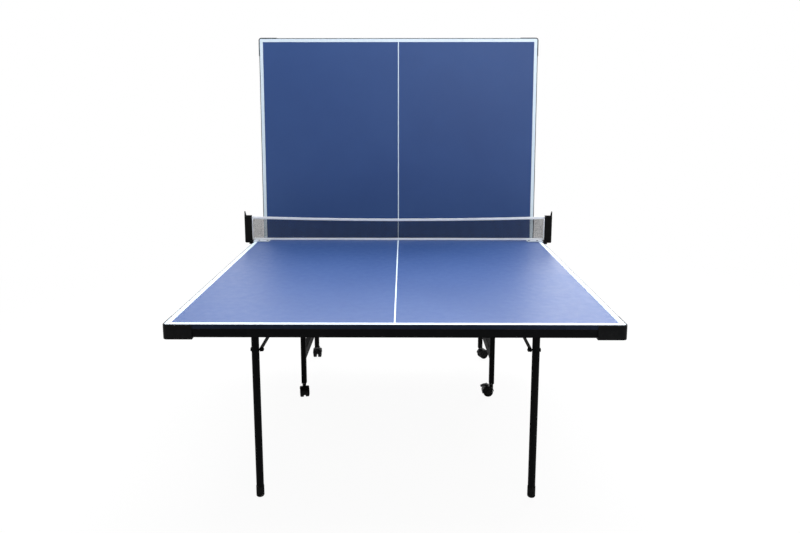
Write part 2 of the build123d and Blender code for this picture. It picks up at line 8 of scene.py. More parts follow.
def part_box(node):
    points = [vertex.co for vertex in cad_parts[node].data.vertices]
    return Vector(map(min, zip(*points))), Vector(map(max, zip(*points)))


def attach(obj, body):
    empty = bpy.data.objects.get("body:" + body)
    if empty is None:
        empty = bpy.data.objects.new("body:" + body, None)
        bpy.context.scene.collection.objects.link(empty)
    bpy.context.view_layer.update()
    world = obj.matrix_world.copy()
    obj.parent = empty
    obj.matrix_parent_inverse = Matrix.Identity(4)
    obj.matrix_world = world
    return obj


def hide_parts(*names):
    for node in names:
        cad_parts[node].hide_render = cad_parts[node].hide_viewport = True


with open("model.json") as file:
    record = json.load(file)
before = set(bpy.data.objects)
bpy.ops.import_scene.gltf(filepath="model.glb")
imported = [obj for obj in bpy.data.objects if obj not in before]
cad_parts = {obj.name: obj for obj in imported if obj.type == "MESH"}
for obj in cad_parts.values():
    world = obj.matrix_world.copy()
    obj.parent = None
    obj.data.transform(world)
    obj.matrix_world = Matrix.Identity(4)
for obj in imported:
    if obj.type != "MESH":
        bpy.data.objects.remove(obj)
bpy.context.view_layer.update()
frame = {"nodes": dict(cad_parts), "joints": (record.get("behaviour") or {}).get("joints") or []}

nodes = frame["nodes"]
joints = {joint["name"]: joint for joint in frame["joints"]}
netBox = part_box("net_top_band")
netY = (netBox[0].y + netBox[1].y) / 2
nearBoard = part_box("near_board")
uprightAngle = math.radians(joints["near_fold"]["range_deg"][1])
farPivot = Vector(joints["far_fold"]["pos_m"])
aboutNet = Matrix.Translation((0, 2 * netY, 0)) @ Matrix.Rotation(math.pi, 4, "Z")
foldUp = Matrix.Rotation(uprightAngle, 4, "X")
toFarHalf = Matrix.Translation(farPivot) @ foldUp @ Matrix.Translation(-farPivot) @ aboutNet
print("frame loaded:", len(nodes), "nodes, net line at y", round(netY, 4))


def rgb(red, green, blue):
    return (red, green, blue, 1)


# shader maths: a sum of fields makes its nodes
class Field:
    def __init__(self, paint, socket):
        self.paint = paint
        self.socket = socket

    def maths(self, operation, first, second):
        return self.paint.node("ShaderNodeMath", {"operation": operation}, {0: first, 1: second})

    def __add__(self, other):
        return self.maths("ADD", self, other)

    def __radd__(self, other):
        return self.maths("ADD", other, self)

    def __sub__(self, other):
        return self.maths("SUBTRACT", self, other)

    def __rsub__(self, other):
        return self.maths("SUBTRACT", other, self)

    def __mul__(self, other):
        return self.maths("MULTIPLY", self, other)

    def __rmul__(self, other):
        return self.maths("MULTIPLY", other, self)

    def __lt__(self, other):
        return self.maths("LESS_THAN", self, other)

    def __gt__(self, other):
        return self.maths("GREATER_THAN", self, other)


class Paint:
    def __init__(self, owner):
        owner.use_nodes = True
        self.owner = owner
        self.tree = owner.node_tree
        self.tree.nodes.clear()

    def node(self, kind, settings=None, sockets=None, out=0):
        made = self.tree.nodes.new(kind)
        for name, value in (settings or {}).items():
            setattr(made, name, value)
        for name, value in (sockets or {}).items():
            if isinstance(value, Field):
                self.tree.links.new(value.socket, made.inputs[name])
            else:
                made.inputs[name].default_value = value
        return Field(self, made.outputs[out]) if made.outputs else None

    def place(self, stretch=(1, 1, 1)):
        spot = self.node("ShaderNodeTexCoord", out="Object")
        if stretch == (1, 1, 1):
            return spot
        return self.node("ShaderNodeMapping", sockets={"Vector": spot, "Scale": stretch})

    def along(self, spot, direction):
        sockets = {0: spot, 1: direction}
        return self.node("ShaderNodeVectorMath", {"operation": "DOT_PRODUCT"}, sockets, out="Value")

    def larger(self, first, second):
        return self.node("ShaderNodeMath", {"operation": "MAXIMUM"}, {0: first, 1: second})

    def noise(self, spot, scale, detail, roughness=0.5):
        sockets = {"Vector": spot, "Scale": scale, "Detail": detail, "Roughness": roughness}
        return self.node("ShaderNodeTexNoise", sockets=sockets)

    def wave(self, spot, bands, scale):
        sockets = {"Vector": spot, "Scale": scale}      # output 1 is its value, not its colour
        return self.node("ShaderNodeTexWave", {"bands_direction": bands}, sockets, out=1)

    def spread(self, value, low, high, fromLow=0.3, fromHigh=0.7):
        sockets = {0: value, 1: fromLow, 2: fromHigh, 3: low, 4: high}
        return self.node("ShaderNodeMapRange", sockets=sockets)

    def blend(self, factor, first, second):
        sockets = {0: factor, 6: first, 7: second}      # a Mix node's two colours
        return self.node("ShaderNodeMix", {"data_type": "RGBA"}, sockets, out=2)

    def surface(self, color, roughness, height, look):
        relief = {"Height": height, "Strength": look["lift"], "Distance": look["depth"]}
        shader = self.node("ShaderNodeBsdfPrincipled", sockets={
            "Base Color": color,
            "Roughness": roughness,
            "Metallic": look.get("metallic", 0),
            "Specular IOR Level": look["specular"],
            "Normal": self.node("ShaderNodeBump", sockets=relief),
        })
        self.node("ShaderNodeOutputMaterial", sockets={"Surface": shader})
        return self.owner


# camera and studio
cameraSet = {
    "place": (0.0293, netY - 3.4293, 1.4675),
    "tiltDown": 8.80,      # degrees below the horizon
    "turn": 0.32,
    "lens": 29.43,
    "shiftUp": -0.0735,
}
studio = {
    "backdrop": rgb(1, 1, 1),     # as the camera and mirrors see it
    "worldColor": rgb(0.97, 0.985, 1),
    "worldLevel": 0.12,
    "floorColor": rgb(0.86, 0.86, 0.86),
    "floorSize": 40,
    "floorDrop": 0.0003,
    "floorGlow": 0.95,     # how far the floor goes to pure white in view, near the object
    "floorFade": (1.6, 4.2),      # it goes all white between these distances
    "skyStrength": 0.6,    # an even light from above, softened over a wide angle
    "skyAngle": 70,
    "skyHeight": 6,
}
lamps = {
    "backSoftbox": {
        "place": (0.5, netY + 1.9, 3.9), "aim": (0.1, netY - 1.0, 0.76),
        "size": (5.0, 1.6), "watts": 262,
    },
    "topSoftbox": {
        "place": (0, netY - 0.9, 4.4), "aim": (0, netY - 0.9, 0),
        "size": (3.0, 2.0), "watts": 124,
    },
    "rightSoftbox": {
        "place": (2.0, netY + 2.8, 1.4), "aim": (0.6, netY - 0.4, 0.76),
        "size": (1.8, 0.8), "watts": 29,
    },
    "leftSoftbox": {
        "place": (-1.4, netY + 2.8, 1.35), "aim": (-0.6, netY - 0.4, 0.76),
        "size": (0.9, 0.7), "watts": 4.5,
    },
    "frontSoftbox": {
        "place": (1.4, netY - 3.4, 2.8), "aim": (0.5, netY, 1.6),
        "size": (2.2, 1.2), "watts": 43,
    },
}


def seenDirectly(paint):
    camera = paint.node("ShaderNodeLightPath", out="Is Camera Ray")
    glossy = paint.node("ShaderNodeLightPath", out="Is Glossy Ray")
    through = paint.node("ShaderNodeLightPath", out="Is Transmission Ray")
    return paint.larger(paint.larger(camera, glossy), through)


def setStudio():
    world = bpy.data.worlds.new("studioWorld")
    bpy.context.scene.world = world
    paint = Paint(world)
    lit = {"Color": studio["worldColor"], "Strength": studio["worldLevel"]}
    lightSide = paint.node("ShaderNodeBackground", sockets=lit)
    viewSide = paint.node("ShaderNodeBackground", sockets={"Color": studio["backdrop"], "Strength": 1})
    sides = {0: seenDirectly(paint), 1: lightSide, 2: viewSide}
    mixed = paint.node("ShaderNodeMixShader", sockets=sides)
    paint.node("ShaderNodeOutputWorld", sockets={"Surface": mixed})

    bpy.ops.object.select_all(action="DESELECT")
    bpy.ops.mesh.primitive_plane_add(size=studio["floorSize"], location=(0, 0, -studio["floorDrop"]))
    floor = bpy.context.object
    floor.name = "studioFloor"
    paint = Paint(bpy.data.materials.new("paleFloor"))
    matt = paint.node("ShaderNodeBsdfDiffuse", sockets={"Color": studio["floorColor"]})
    glow = paint.node("ShaderNodeEmission", sockets={"Color": studio["backdrop"], "Strength": 1})
    spot = paint.place()
    outward = paint.node("ShaderNodeVectorMath", {"operation": "LENGTH"}, {0: spot}, out="Value")
    factor = seenDirectly(paint) * paint.spread(outward, studio["floorGlow"], 1, *studio["floorFade"])
    mixed = paint.node("ShaderNodeMixShader", sockets={0: factor, 1: matt, 2: glow})
    paint.node("ShaderNodeOutputMaterial", sockets={"Surface": mixed})
    floor.data.materials.append(paint.owner)

    for name, lamp in lamps.items():
        aim = Vector(lamp["aim"]) - Vector(lamp["place"])
        bpy.ops.object.light_add(type="AREA", location=lamp["place"])
        made = bpy.context.object
        made.name = name
        made.rotation_euler = aim.to_track_quat("-Z", "Y").to_euler()
        made.data.shape = "RECTANGLE"
        made.data.size, made.data.size_y = lamp["size"]
        made.data.energy = lamp["watts"]
        made.visible_camera = False
    bpy.ops.object.light_add(type="SUN", location=(0, 0, studio["skyHeight"]))
    sky = bpy.context.object
    sky.name = "skylight"
    sky.data.energy = studio["skyStrength"]
    sky.data.angle = math.radians(studio["skyAngle"])

    pitch = math.radians(90 - cameraSet["tiltDown"])
    turn = math.radians(cameraSet["turn"])
    bpy.ops.object.camera_add(location=cameraSet["place"], rotation=(pitch, 0, turn))
    camera = bpy.context.object
    camera.data.lens = cameraSet["lens"]
    camera.data.shift_y = cameraSet["shiftUp"]
    bpy.context.scene.camera = camera
    bpy.context.scene.view_settings.view_transform = "Standard"


setStudio()
print("studio set: floor,", len(lamps), "soft lamps and the camera")


# finishes: a noise is given by its scale, its detail and how rough it is
boardSet = {
    "blue": rgb(0.0265, 0.0695, 0.216),
    "deepBlue": rgb(0.0215, 0.0595, 0.196),
    "edge": rgb(0.007, 0.010, 0.020),
    "rim": 0.003,          # dark band round the three outer edges
    "cornerRadius": 0.012,
    "chipboard": rgb(0.20, 0.125, 0.07),
    "chipboardDark": rgb(0.11, 0.066, 0.036),
    "filmDepth": 0.0004,
    "cloud": (2.2, 4, 0.6),
    "scuff": (34, 5, 0.65),
    "peel": (420, 2),
    "chips": (260, 5, 0.7),
    "rough": (0.44, 0.52),
    "roughDrift": (-0.02, 0.03),
    "underRough": 0.4,     # added on the underside
    "underRelief": 3,
    "lift": 0.12,
    "depth": 0.0004,
    "specular": 0.35,
}


def boardPaint(name, up, outward, corner):
    paint = Paint(bpy.data.materials.new(name))
    spot = paint.place()
    depth = corner.dot(up) - paint.along(spot, up)
    fromEnd = corner.dot(outward) - paint.along(spot, outward)
    across = paint.along(spot, Vector((1, 0, 0)))
    fromSide = nearBoard[1].x - paint.node("ShaderNodeMath", {"operation": "ABSOLUTE"}, {0: across})
    thickness = nearBoard[1].z - nearBoard[0].z
    radius = boardSet["cornerRadius"]
    pastEnd = paint.larger(radius - fromEnd, 0)      # into the rounded corner
    pastSide = paint.larger(radius - fromSide, 0)
    isRim = pastEnd * pastEnd + pastSide * pastSide > (radius - boardSet["rim"]) ** 2
    isTop = (depth < boardSet["filmDepth"]) * (1 - isRim)
    isUnder = depth > thickness - boardSet["filmDepth"]

    cloud = paint.noise(spot, *boardSet["cloud"])
    scuff = paint.noise(spot, *boardSet["scuff"])
    peel = paint.noise(spot, *boardSet["peel"])
    chips = paint.noise(spot, *boardSet["chips"])
    blue = paint.blend(paint.spread(cloud, 0, 1), boardSet["deepBlue"], boardSet["blue"])
    brown = paint.blend(paint.spread(chips, 0, 1), boardSet["chipboardDark"], boardSet["chipboard"])
    color = paint.blend(isTop, boardSet["edge"], blue)
    color = paint.blend(isUnder, color, brown)
    sheen = paint.spread(scuff, *boardSet["rough"]) + paint.spread(cloud, *boardSet["roughDrift"])
    roughness = sheen + isUnder * boardSet["underRough"]
    relief = peel + isUnder * chips * boardSet["underRelief"]
    return paint.surface(color, roughness, relief, boardSet)


coats = {
    "lines": {
        "name": "whiteLinePaint", "fresh": rgb(0.71, 0.83, 0.92), "worn": rgb(0.62, 0.73, 0.82),
        "wear": (60, 6, 0.7), "wearFrom": (0.55, 0.8), "rough": (0.36, 0.5),
        "peel": (420, 2), "lift": 0.1, "depth": 0.0003, "specular": 0.5,
    },
    "black_enamel": {
        "name": "blackPowderCoat", "fresh": rgb(0.0028, 0.0029, 0.0032),
        "worn": rgb(0.006, 0.0061, 0.0065), "wear": (22, 6, 0.7), "wearFrom": (0.5, 0.8),
        "rough": (0.60, 0.74), "peel": (520, 2), "lift": 0.18, "depth": 0.0005, "specular": 0.04,
    },
    "clampPlate": {
        "name": "paleGreyEnamel", "fresh": rgb(0.50, 0.55, 0.62), "worn": rgb(0.38, 0.42, 0.48),
        "wear": (90, 6, 0.7), "wearFrom": (0.5, 0.8), "rough": (0.34, 0.5),
        "peel": (600, 2), "lift": 0.15, "depth": 0.0004, "specular": 0.5,
    },
}


def coatPaint(look):
    paint = Paint(bpy.data.materials.new(look["name"]))
    spot = paint.place()
    wear = paint.noise(spot, *look["wear"])
    peel = paint.noise(spot, *look["peel"])
    color = paint.blend(paint.spread(wear, 0, 1, *look["wearFrom"]), look["fresh"], look["worn"])
    return paint.surface(color, paint.spread(wear, *look["rough"]), peel, look)


mouldings = {
    "black_plastic": {
        "name": "mouldedBlackPlastic", "fresh": rgb(0.0036, 0.0038, 0.004),
        "worn": rgb(0.008, 0.0083, 0.0086), "rough": 0.5, "grain": 900,
    },
    "black_rubber": {
        "name": "blackRubber", "fresh": rgb(0.006, 0.006, 0.006), "worn": rgb(0.014, 0.014, 0.0135),
        "rough": 0.85, "grain": 500,
    },
    "caster_plastic": {
        "name": "casterNylon", "fresh": rgb(0.005, 0.005, 0.0053), "worn": rgb(0.012, 0.012, 0.0125),
        "rough": 0.42, "grain": 700,
    },
    "caster_tread": {
        "name": "casterTread", "fresh": rgb(0.007, 0.007, 0.007), "worn": rgb(0.02, 0.0195, 0.019),
        "rough": 0.62, "grain": 600,
    },
    "edgeBand": {
        "name": "navyEdgeBand", "fresh": rgb(0.0065, 0.0105, 0.0225), "worn": rgb(0.012, 0.0175, 0.034),
        "rough": 0.45, "grain": 500,
    },
}
mouldedSet = {
    "wear": (40, 5, 0.65),
    "wearFrom": (0.5, 0.8),
    "polish": 0.1,         # how much smoother the worn spots are
    "lift": 0.25,
    "depth": 0.0003,
    "specular": 0.06,
}


def mouldedPaint(look):
    paint = Paint(bpy.data.materials.new(look["name"]))
    spot = paint.place()
    grain = paint.node("ShaderNodeTexVoronoi", sockets={"Vector": spot, "Scale": look["grain"]})
    wear = paint.noise(spot, *mouldedSet["wear"])
    color = paint.blend(paint.spread(wear, 0, 1, *mouldedSet["wearFrom"]), look["fresh"], look["worn"])
    roughness = paint.spread(wear, look["rough"], look["rough"] - mouldedSet["polish"])
    return paint.surface(color, roughness, grain, mouldedSet)


zincSet = {
    "dull": rgb(0.42, 0.43, 0.44),
    "bright": rgb(0.58, 0.58, 0.57),
    "bloom": (130, 5, 0.65),
    "rough": (0.24, 0.4),
    "brushed": (300, 3),
    "brushedStretch": (1, 1, 14),
    "lift": 0.1,
    "depth": 0.0002,
    "specular": 0.5,
    "metallic": 1,
}


def zincPaint():
    paint = Paint(bpy.data.materials.new("brightZincPlate"))
    bloom = paint.noise(paint.place(), *zincSet["bloom"])
    brushed = paint.noise(paint.place(zincSet["brushedStretch"]), *zincSet["brushed"])
    color = paint.blend(paint.spread(bloom, 0, 1), zincSet["dull"], zincSet["bright"])
    return paint.surface(color, paint.spread(bloom, *zincSet["rough"]), brushed, zincSet)


cordSet = {
    "dark": rgb(0.009, 0.010, 0.015),
    "faded": rgb(0.017, 0.018, 0.024),
    "fade": (30, 4),
    "rough": (0.62, 0.75),
    "plyScale": 520,
    "lift": 0.4,
    "depth": 0.0004,
    "specular": 0.2,
}


def cordPaint():
    paint = Paint(bpy.data.materials.new("darkNylonCord"))
    spot = paint.place()
    ply = paint.wave(spot, "DIAGONAL", cordSet["plyScale"])
    fade = paint.noise(spot, *cordSet["fade"])
    color = paint.blend(fade, cordSet["dark"], cordSet["faded"])
    return paint.surface(color, paint.spread(fade, *cordSet["rough"]), ply, cordSet)


tapeSet = {
    "clean": rgb(0.93, 0.95, 0.98),
    "grimy": rgb(0.86, 0.89, 0.93),
    "grime": (18, 5, 0.6),
    "rough": (0.75, 0.88),
    "weaveScale": 330,
    "lift": 0.5,
    "depth": 0.0005,
    "specular": 0.5,
}


def tapePaint():
    paint = Paint(bpy.data.materials.new("wovenWhiteTape"))
    spot = paint.place()
    weave = paint.wave(spot, "X", tapeSet["weaveScale"]) * paint.wave(spot, "Z", tapeSet["weaveScale"])
    grime = paint.noise(spot, *tapeSet["grime"])
    color = paint.blend(paint.spread(grime, 0, 1), tapeSet["clean"], tapeSet["grimy"])
    return paint.surface(color, paint.spread(grime, *tapeSet["rough"]), weave, tapeSet)


def rotated(vector):
    return foldUp.to_3x3() @ vector


outerTop = Vector((0, nearBoard[0].y, nearBoard[1].z))
nearUp = Vector((0, 0, 1))
nearOut = Vector((0, -1, 0))
finishes = {
    "near_board": boardPaint("nearBoardPaint", nearUp, nearOut, outerTop),
    "far_board": boardPaint("farBoardPaint", rotated(nearUp), rotated(-nearOut), toFarHalf @ outerTop),
    "zinc_steel": zincPaint(),
    "net_cord": cordPaint(),
    "net_tape": tapePaint(),
}
finishes.update({name: coatPaint(look) for name, look in coats.items()})
finishes.update({name: mouldedPaint(look) for name, look in mouldings.items()})
for name, node in nodes.items():
    slotName = node.data.materials[0].name.split(".")[0]
    finish = finishes.get(name) or finishes[slotName]
    node.data.materials.clear()
    node.data.materials.append(finish)
print("finishes made:", len(finishes))


# modelling helpers
nearly = {"along": 0.99, "facing": 0.9, "onRim": 0.98}      # shares of a full match


def clearSelection():
    if bpy.context.object and bpy.context.object.mode != "OBJECT":
        bpy.ops.object.mode_set(mode="OBJECT")
    bpy.ops.object.select_all(action="DESELECT")


def only(piece):
    clearSelection()
    piece.select_set(True)
    bpy.context.view_layer.objects.active = piece


def begin(kind, name, scale=(1, 1, 1), **sizes):
    clearSelection()
    getattr(bpy.ops.mesh, f"primitive_{kind}_add")(**sizes)
    piece = bpy.context.object
    piece.name = piece.data.name = name
    piece.scale = scale
    bpy.ops.object.transform_apply(location=True, rotation=True, scale=True)
    return piece


def pick(piece, part, test):
    only(piece)
    mesh = piece.data
    groups = {"VERT": mesh.vertices, "EDGE": mesh.edges, "FACE": mesh.polygons}
    for group in groups.values():
        group.foreach_set("select", [False] * len(group))
    for item in groups[part]:
        item.select = test(item)
    bpy.context.tool_settings.mesh_select_mode = [part == kind for kind in groups]
    bpy.ops.object.mode_set(mode="EDIT")


def endsOf(piece, edge):
    return [piece.data.vertices[index].co for index in edge.vertices]


def runsAlong(piece, edge, axis):
    first, second = endsOf(piece, edge)
    step = second - first
    return abs(step[axis]) > nearly["along"] * step.length


def faces(direction):
    return lambda face: face.normal.dot(Vector(direction)) > nearly["facing"]


def modify(piece, kind, **settings):
    only(piece)
    modifier = piece.modifiers.new(kind.lower(), kind)
    for name, value in settings.items():
        setattr(modifier, name, value)
    bpy.ops.object.modifier_apply(modifier=modifier.name)


def settle(piece, angle=35):
    only(piece)
    bpy.ops.object.transform_apply(location=True, rotation=True, scale=True)
    bpy.ops.object.shade_smooth_by_angle(angle=math.radians(angle))


def copyOf(piece, name, place):
    only(piece)
    bpy.ops.object.duplicate()
    copy = bpy.context.object
    copy.name = copy.data.name = name
    copy.matrix_world = place
    bpy.ops.object.transform_apply(location=True, rotation=True, scale=True)
    return copy


def joined(pieces, name):
    clearSelection()
    for piece in pieces:
        piece.select_set(True)
    bpy.context.view_layer.objects.active = pieces[0]
    bpy.ops.object.join()
    piece = bpy.context.object
    piece.name = piece.data.name = name
    return piece


def facing(spot, direction):
    turn = nearUp.rotation_difference(Vector(direction)).to_matrix().to_4x4()
    return Matrix.Translation(spot) @ turn


def stamped(model, places, name):
    return joined([copyOf(model, f"{name}Copy", place) for place in places], name)


def discard(piece):
    bpy.data.objects.remove(piece)


def dress(piece, body, finish):
    piece.data.materials.clear()
    piece.data.materials.append(finish)
    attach(piece, body)


# white lines: a thin film of paint on each half
lineSet = {
    "edgeWidth": 0.017,
    "centreWidth": 0.005,
    "film": 0.00025,
    "overRim": 0.0002,     # how far the round corner laps the dark rim
    "cornerSteps": 8,
}


def makeLines(name):
    low, high = nearBoard
    rim = boardSet["rim"]
    width = high.x - low.x - 2 * rim
    length = high.y - low.y - rim
    middle = Vector(((low.x + high.x) / 2, low.y + rim + length / 2, high.z))
    border = begin("plane", "lineBorder", scale=(width, length, 1), size=1, location=middle)
    pick(border, "VERT", lambda vertex: vertex.co.y < middle.y)
    radius = boardSet["cornerRadius"] - rim - lineSet["overRim"]
    bpy.ops.mesh.bevel(offset=radius, segments=lineSet["cornerSteps"], affect="VERTICES")
    insideX = width / 2 - lineSet["edgeWidth"]
    insideY = low.y + rim + lineSet["edgeWidth"]
    cuts = [((insideX, 0, 0), (1, 0, 0)), ((-insideX, 0, 0), (1, 0, 0)), ((0, insideY, 0), (0, 1, 0))]
    for spot, direction in cuts:
        bpy.ops.mesh.select_all(action="SELECT")
        bpy.ops.mesh.bisect(plane_co=spot, plane_no=direction)
    bpy.ops.object.mode_set(mode="OBJECT")
    pick(border, "FACE", lambda face: abs(face.center.x) < insideX and face.center.y > insideY)
    bpy.ops.mesh.delete(type="FACE")
    bpy.ops.object.mode_set(mode="OBJECT")
    centreLength = high.y - insideY
    centre = begin(
        "plane", "lineCentre", scale=(lineSet["centreWidth"], centreLength, 1), size=1,
        location=(0, high.y - centreLength / 2, high.z),
    )
    lines = joined([border, centre], name)
    modify(lines, "SOLIDIFY", thickness=lineSet["film"], offset=1)
    return lines


nearLines = makeLines("nearLines")
farLines = copyOf(nearLines, "farLines", toFarHalf)
dress(nearLines, "near_half", finishes["lines"])
dress(farLines, "far_half", finishes["lines"])
print("lines painted on both halves")


# net: knotted cords, two tapes with stitching, and a hem beside each post
netSet = {
    "pitch": 0.0058,
    "cord": 0.0027,
    "gathered": 0.057,     # beside each post the upright cords stand closer
    "gatheredPitch": 0.0036,
    "mergeWithin": 0.00005,
    "ripple": 0.0012,
    "rippleShort": 9,      # two waves along the net, in radians a metre
    "rippleLong": 4,
    "rippleShift": 1,
    "hemWidth": 0.005,
    "hemProud": 0.0004,
    "hemRound": 0.3,       # share of the thickness
    "hemSteps": 2,
    "stitch": (0.0032, 0.0006, 0.0008),
    "stitchTaper": (0.6, 1, 0.5),
    "stitchStep": 0.005,
    "stitchInset": 0.003,
    "tapeSpans": 72,
    "tapeRound": 0.4,
    "tapeSteps": 3,
}
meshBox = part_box("net_mesh")
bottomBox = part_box("net_bottom_band")
span = netBox[1].x - netBox[0].x
bandTop = netBox[1].z
bandTall = bandTop - meshBox[1].z
bandThick = netBox[1].y - netBox[0].y
netSag = bandTop - bandTall - netBox[0].z


def droop(x):
    return netSag * (1 - (2 * x / span) ** 2)


def letSag(piece, share):
    for vertex in piece.data.vertices:
        x = vertex.co.x
        vertex.co.z -= share(vertex.co) * droop(x)
        short = math.sin(x * netSet["rippleShort"])
        long = math.sin(x * netSet["rippleLong"] + netSet["rippleShift"])
        vertex.co.y += netSet["ripple"] * short * long


def meshShare(place):
    return max(0, (place.z - meshBox[0].z) / (meshBox[1].z - meshBox[0].z))


def makeCords():
    tall = meshBox[1].z - meshBox[0].z
    gathered = netSet["gathered"]
    strips = []
    for left, right, pitch in (
        (-span / 2, gathered - span / 2, netSet["gatheredPitch"]),
        (gathered - span / 2, span / 2 - gathered, netSet["pitch"]),
        (span / 2 - gathered, span / 2, netSet["gatheredPitch"]),
    ):
        strips.append(begin(
            "grid", "netStrip", scale=(right - left, tall, 1), size=1,
            x_subdivisions=round((right - left) / pitch), y_subdivisions=round(tall / netSet["pitch"]),
            rotation=(math.pi / 2, 0, 0), location=((left + right) / 2, netY, meshBox[0].z + tall / 2),
        ))
    cords = joined(strips, "netCords")
    pick(cords, "VERT", lambda vertex: True)
    bpy.ops.mesh.remove_doubles(threshold=netSet["mergeWithin"])
    bpy.ops.object.mode_set(mode="OBJECT")
    letSag(cords, meshShare)
    modify(
        cords, "WIREFRAME", thickness=netSet["cord"], offset=0,
        use_even_offset=False, use_boundary=True,
    )
    pick(cords, "FACE", lambda face: True)
    bpy.ops.mesh.normals_make_consistent(inside=False)
    bpy.ops.object.mode_set(mode="OBJECT")
    settle(cords)
    return cords


def makeTape(name, low, tall, share):
    middle = (0, netY, low + tall / 2)
    tape = begin("cube", name, scale=(span, bandThick, tall), size=1, location=middle)
    pick(tape, "EDGE", lambda edge: runsAlong(tape, edge, 0))
    rounding = bandThick * netSet["tapeRound"]
    bpy.ops.mesh.bevel(offset=rounding, segments=netSet["tapeSteps"], affect="EDGES")
    bpy.ops.object.mode_set(mode="OBJECT")
    pick(tape, "EDGE", lambda edge: runsAlong(tape, edge, 0))
    bpy.ops.mesh.subdivide(number_cuts=netSet["tapeSpans"])
    bpy.ops.object.mode_set(mode="OBJECT")
    letSag(tape, share)
    settle(tape)
    return tape


def makeStitches(rows):
    count = int(span / netSet["stitchStep"]) - 2
    strips = []
    for height, share in rows:
        for side in (-1, 1):
            start = (-netSet["stitchStep"] * (count - 1) / 2, netY + side * bandThick / 2, height)
            strip = begin("cube", "stitchRow", scale=netSet["stitch"], size=1, location=start)
            pick(strip, "FACE", faces((0, side, 0)))
            bpy.ops.transform.resize(value=netSet["stitchTaper"])
            bpy.ops.object.mode_set(mode="OBJECT")
            modify(
                strip, "ARRAY", count=count, use_relative_offset=False, use_constant_offset=True,
                constant_offset_displace=(netSet["stitchStep"], 0, 0),
            )
            letSag(strip, share)
            strips.append(strip)
    return joined(strips, "netStitches")


def makeHems():
    wide, thick = netSet["hemWidth"], bandThick + 2 * netSet["hemProud"]
    low, high = bottomBox[0].z, bandTop
    hems = []
    for side in (-1, 1):
        middle = (side * (span - wide) / 2, netY, (low + high) / 2)
        hem = begin("cube", "netHem", scale=(wide, thick, high - low), size=1, location=middle)
        pick(hem, "EDGE", lambda edge: True)
        rounding = thick * netSet["hemRound"]
        bpy.ops.mesh.bevel(offset=rounding, segments=netSet["hemSteps"], affect="EDGES")
        bpy.ops.object.mode_set(mode="OBJECT")
        hems.append(hem)
    hems = joined(hems, "netHems")
    letSag(hems, meshShare)
    settle(hems)
    return hems


def fullSag(place):
    return 1


def noSag(place):
    return 0


netCords = makeCords()
topTape = makeTape("netTopTape", bandTop - bandTall, bandTall, fullSag)
bottomTape = makeTape("netBottomTape", bottomBox[0].z, bottomBox[1].z - bottomBox[0].z, noSag)
stitchRows = [
    (bandTop - bandTall + netSet["stitchInset"], fullSag),
    (bottomBox[1].z - netSet["stitchInset"], noSag),
    (bottomBox[0].z + netSet["stitchInset"], noSag),
]
netStitches = makeStitches(stitchRows)
netHems = makeHems()
dress(netCords, "near_half", finishes["net_cord"])
for piece in (topTape, bottomTape, netStitches, netHems):
    dress(piece, "near_half", finishes["net_tape"])
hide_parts("net_mesh")
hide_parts("net_top_band")
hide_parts("net_bottom_band")
print("net hung:", len(netCords.data.polygons), "faces of cord")


# edge bands: a moulded strip on the three outer edges of each board
bandSet = {
    "proud": 0.0007,
    "step": 0.0002,        # below the board's top, above its underside
    "round": 0.0004,
    "roundSteps": 3,
    "clearOfNet": 0.062,
    "longEdge": 0.1,       # only edges longer than this are rounded
}


def makeStrip(low, high):
    strip = begin("cube", "bandStrip", scale=high - low, size=1, location=(low + high) / 2)

    def isLong(edge):
        first, second = endsOf(strip, edge)
        return (first - second).length > bandSet["longEdge"]

    pick(strip, "EDGE", isLong)
    bpy.ops.mesh.bevel(offset=bandSet["round"], segments=bandSet["roundSteps"], affect="EDGES")
    bpy.ops.object.mode_set(mode="OBJECT")
    return strip


def makeEdgeBand(name):
    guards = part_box("near_corner_guards")
    reach = guards[1].y - guards[0].y
    proud, step = bandSet["proud"], bandSet["step"]
    low = nearBoard[0].z + step
    high = nearBoard[1].z - step
    endRun = guards[1].x - reach
    endLow = Vector((-endRun, nearBoard[0].y - proud, low))
    endHigh = Vector((endRun, nearBoard[0].y + proud, high))
    strips = [makeStrip(endLow, endHigh)]
    for side in (-1, 1):
        edges = sorted((side * (nearBoard[1].x - proud), side * (nearBoard[1].x + proud)))
        start = Vector((edges[0], guards[1].y, low))
        strips.append(makeStrip(start, Vector((edges[1], netY - bandSet["clearOfNet"], high))))
    band = joined(strips, name)
    settle(band)
    return band


nearEdgeBand = makeEdgeBand("nearEdgeBand")
farEdgeBand = copyOf(nearEdgeBand, "farEdgeBand", toFarHalf)
dress(nearEdgeBand, "near_half", finishes["edgeBand"])
dress(farEdgeBand, "far_half", finishes["edgeBand"])
print("edge bands laid on both halves")


# screws that hold the guards, rails and hinge plates
screwSet = {
    "sides": 14,
    "radius": 0.0044,
    "tall": 0.0017,
    "round": 0.5,          # share of the height
    "roundSteps": 2,
    "recess": 0.0019,
    "recessTaper": 0.15,
    "recessDeep": 0.6,
    "guardInset": 0.009,
    "guardAlong": 0.055,
    "railHalf": 0.0125,
    "railStations": (0.080, 0.400, 0.620, 0.980, 1.290),      # from the net line
    "crossHalf": 0.015,
    "crossStations": (0.04, 0.22, 0.38, 0.60),                # from the middle
    "hingeReach": 0.050,
    "hingeRise": 0.007,
}


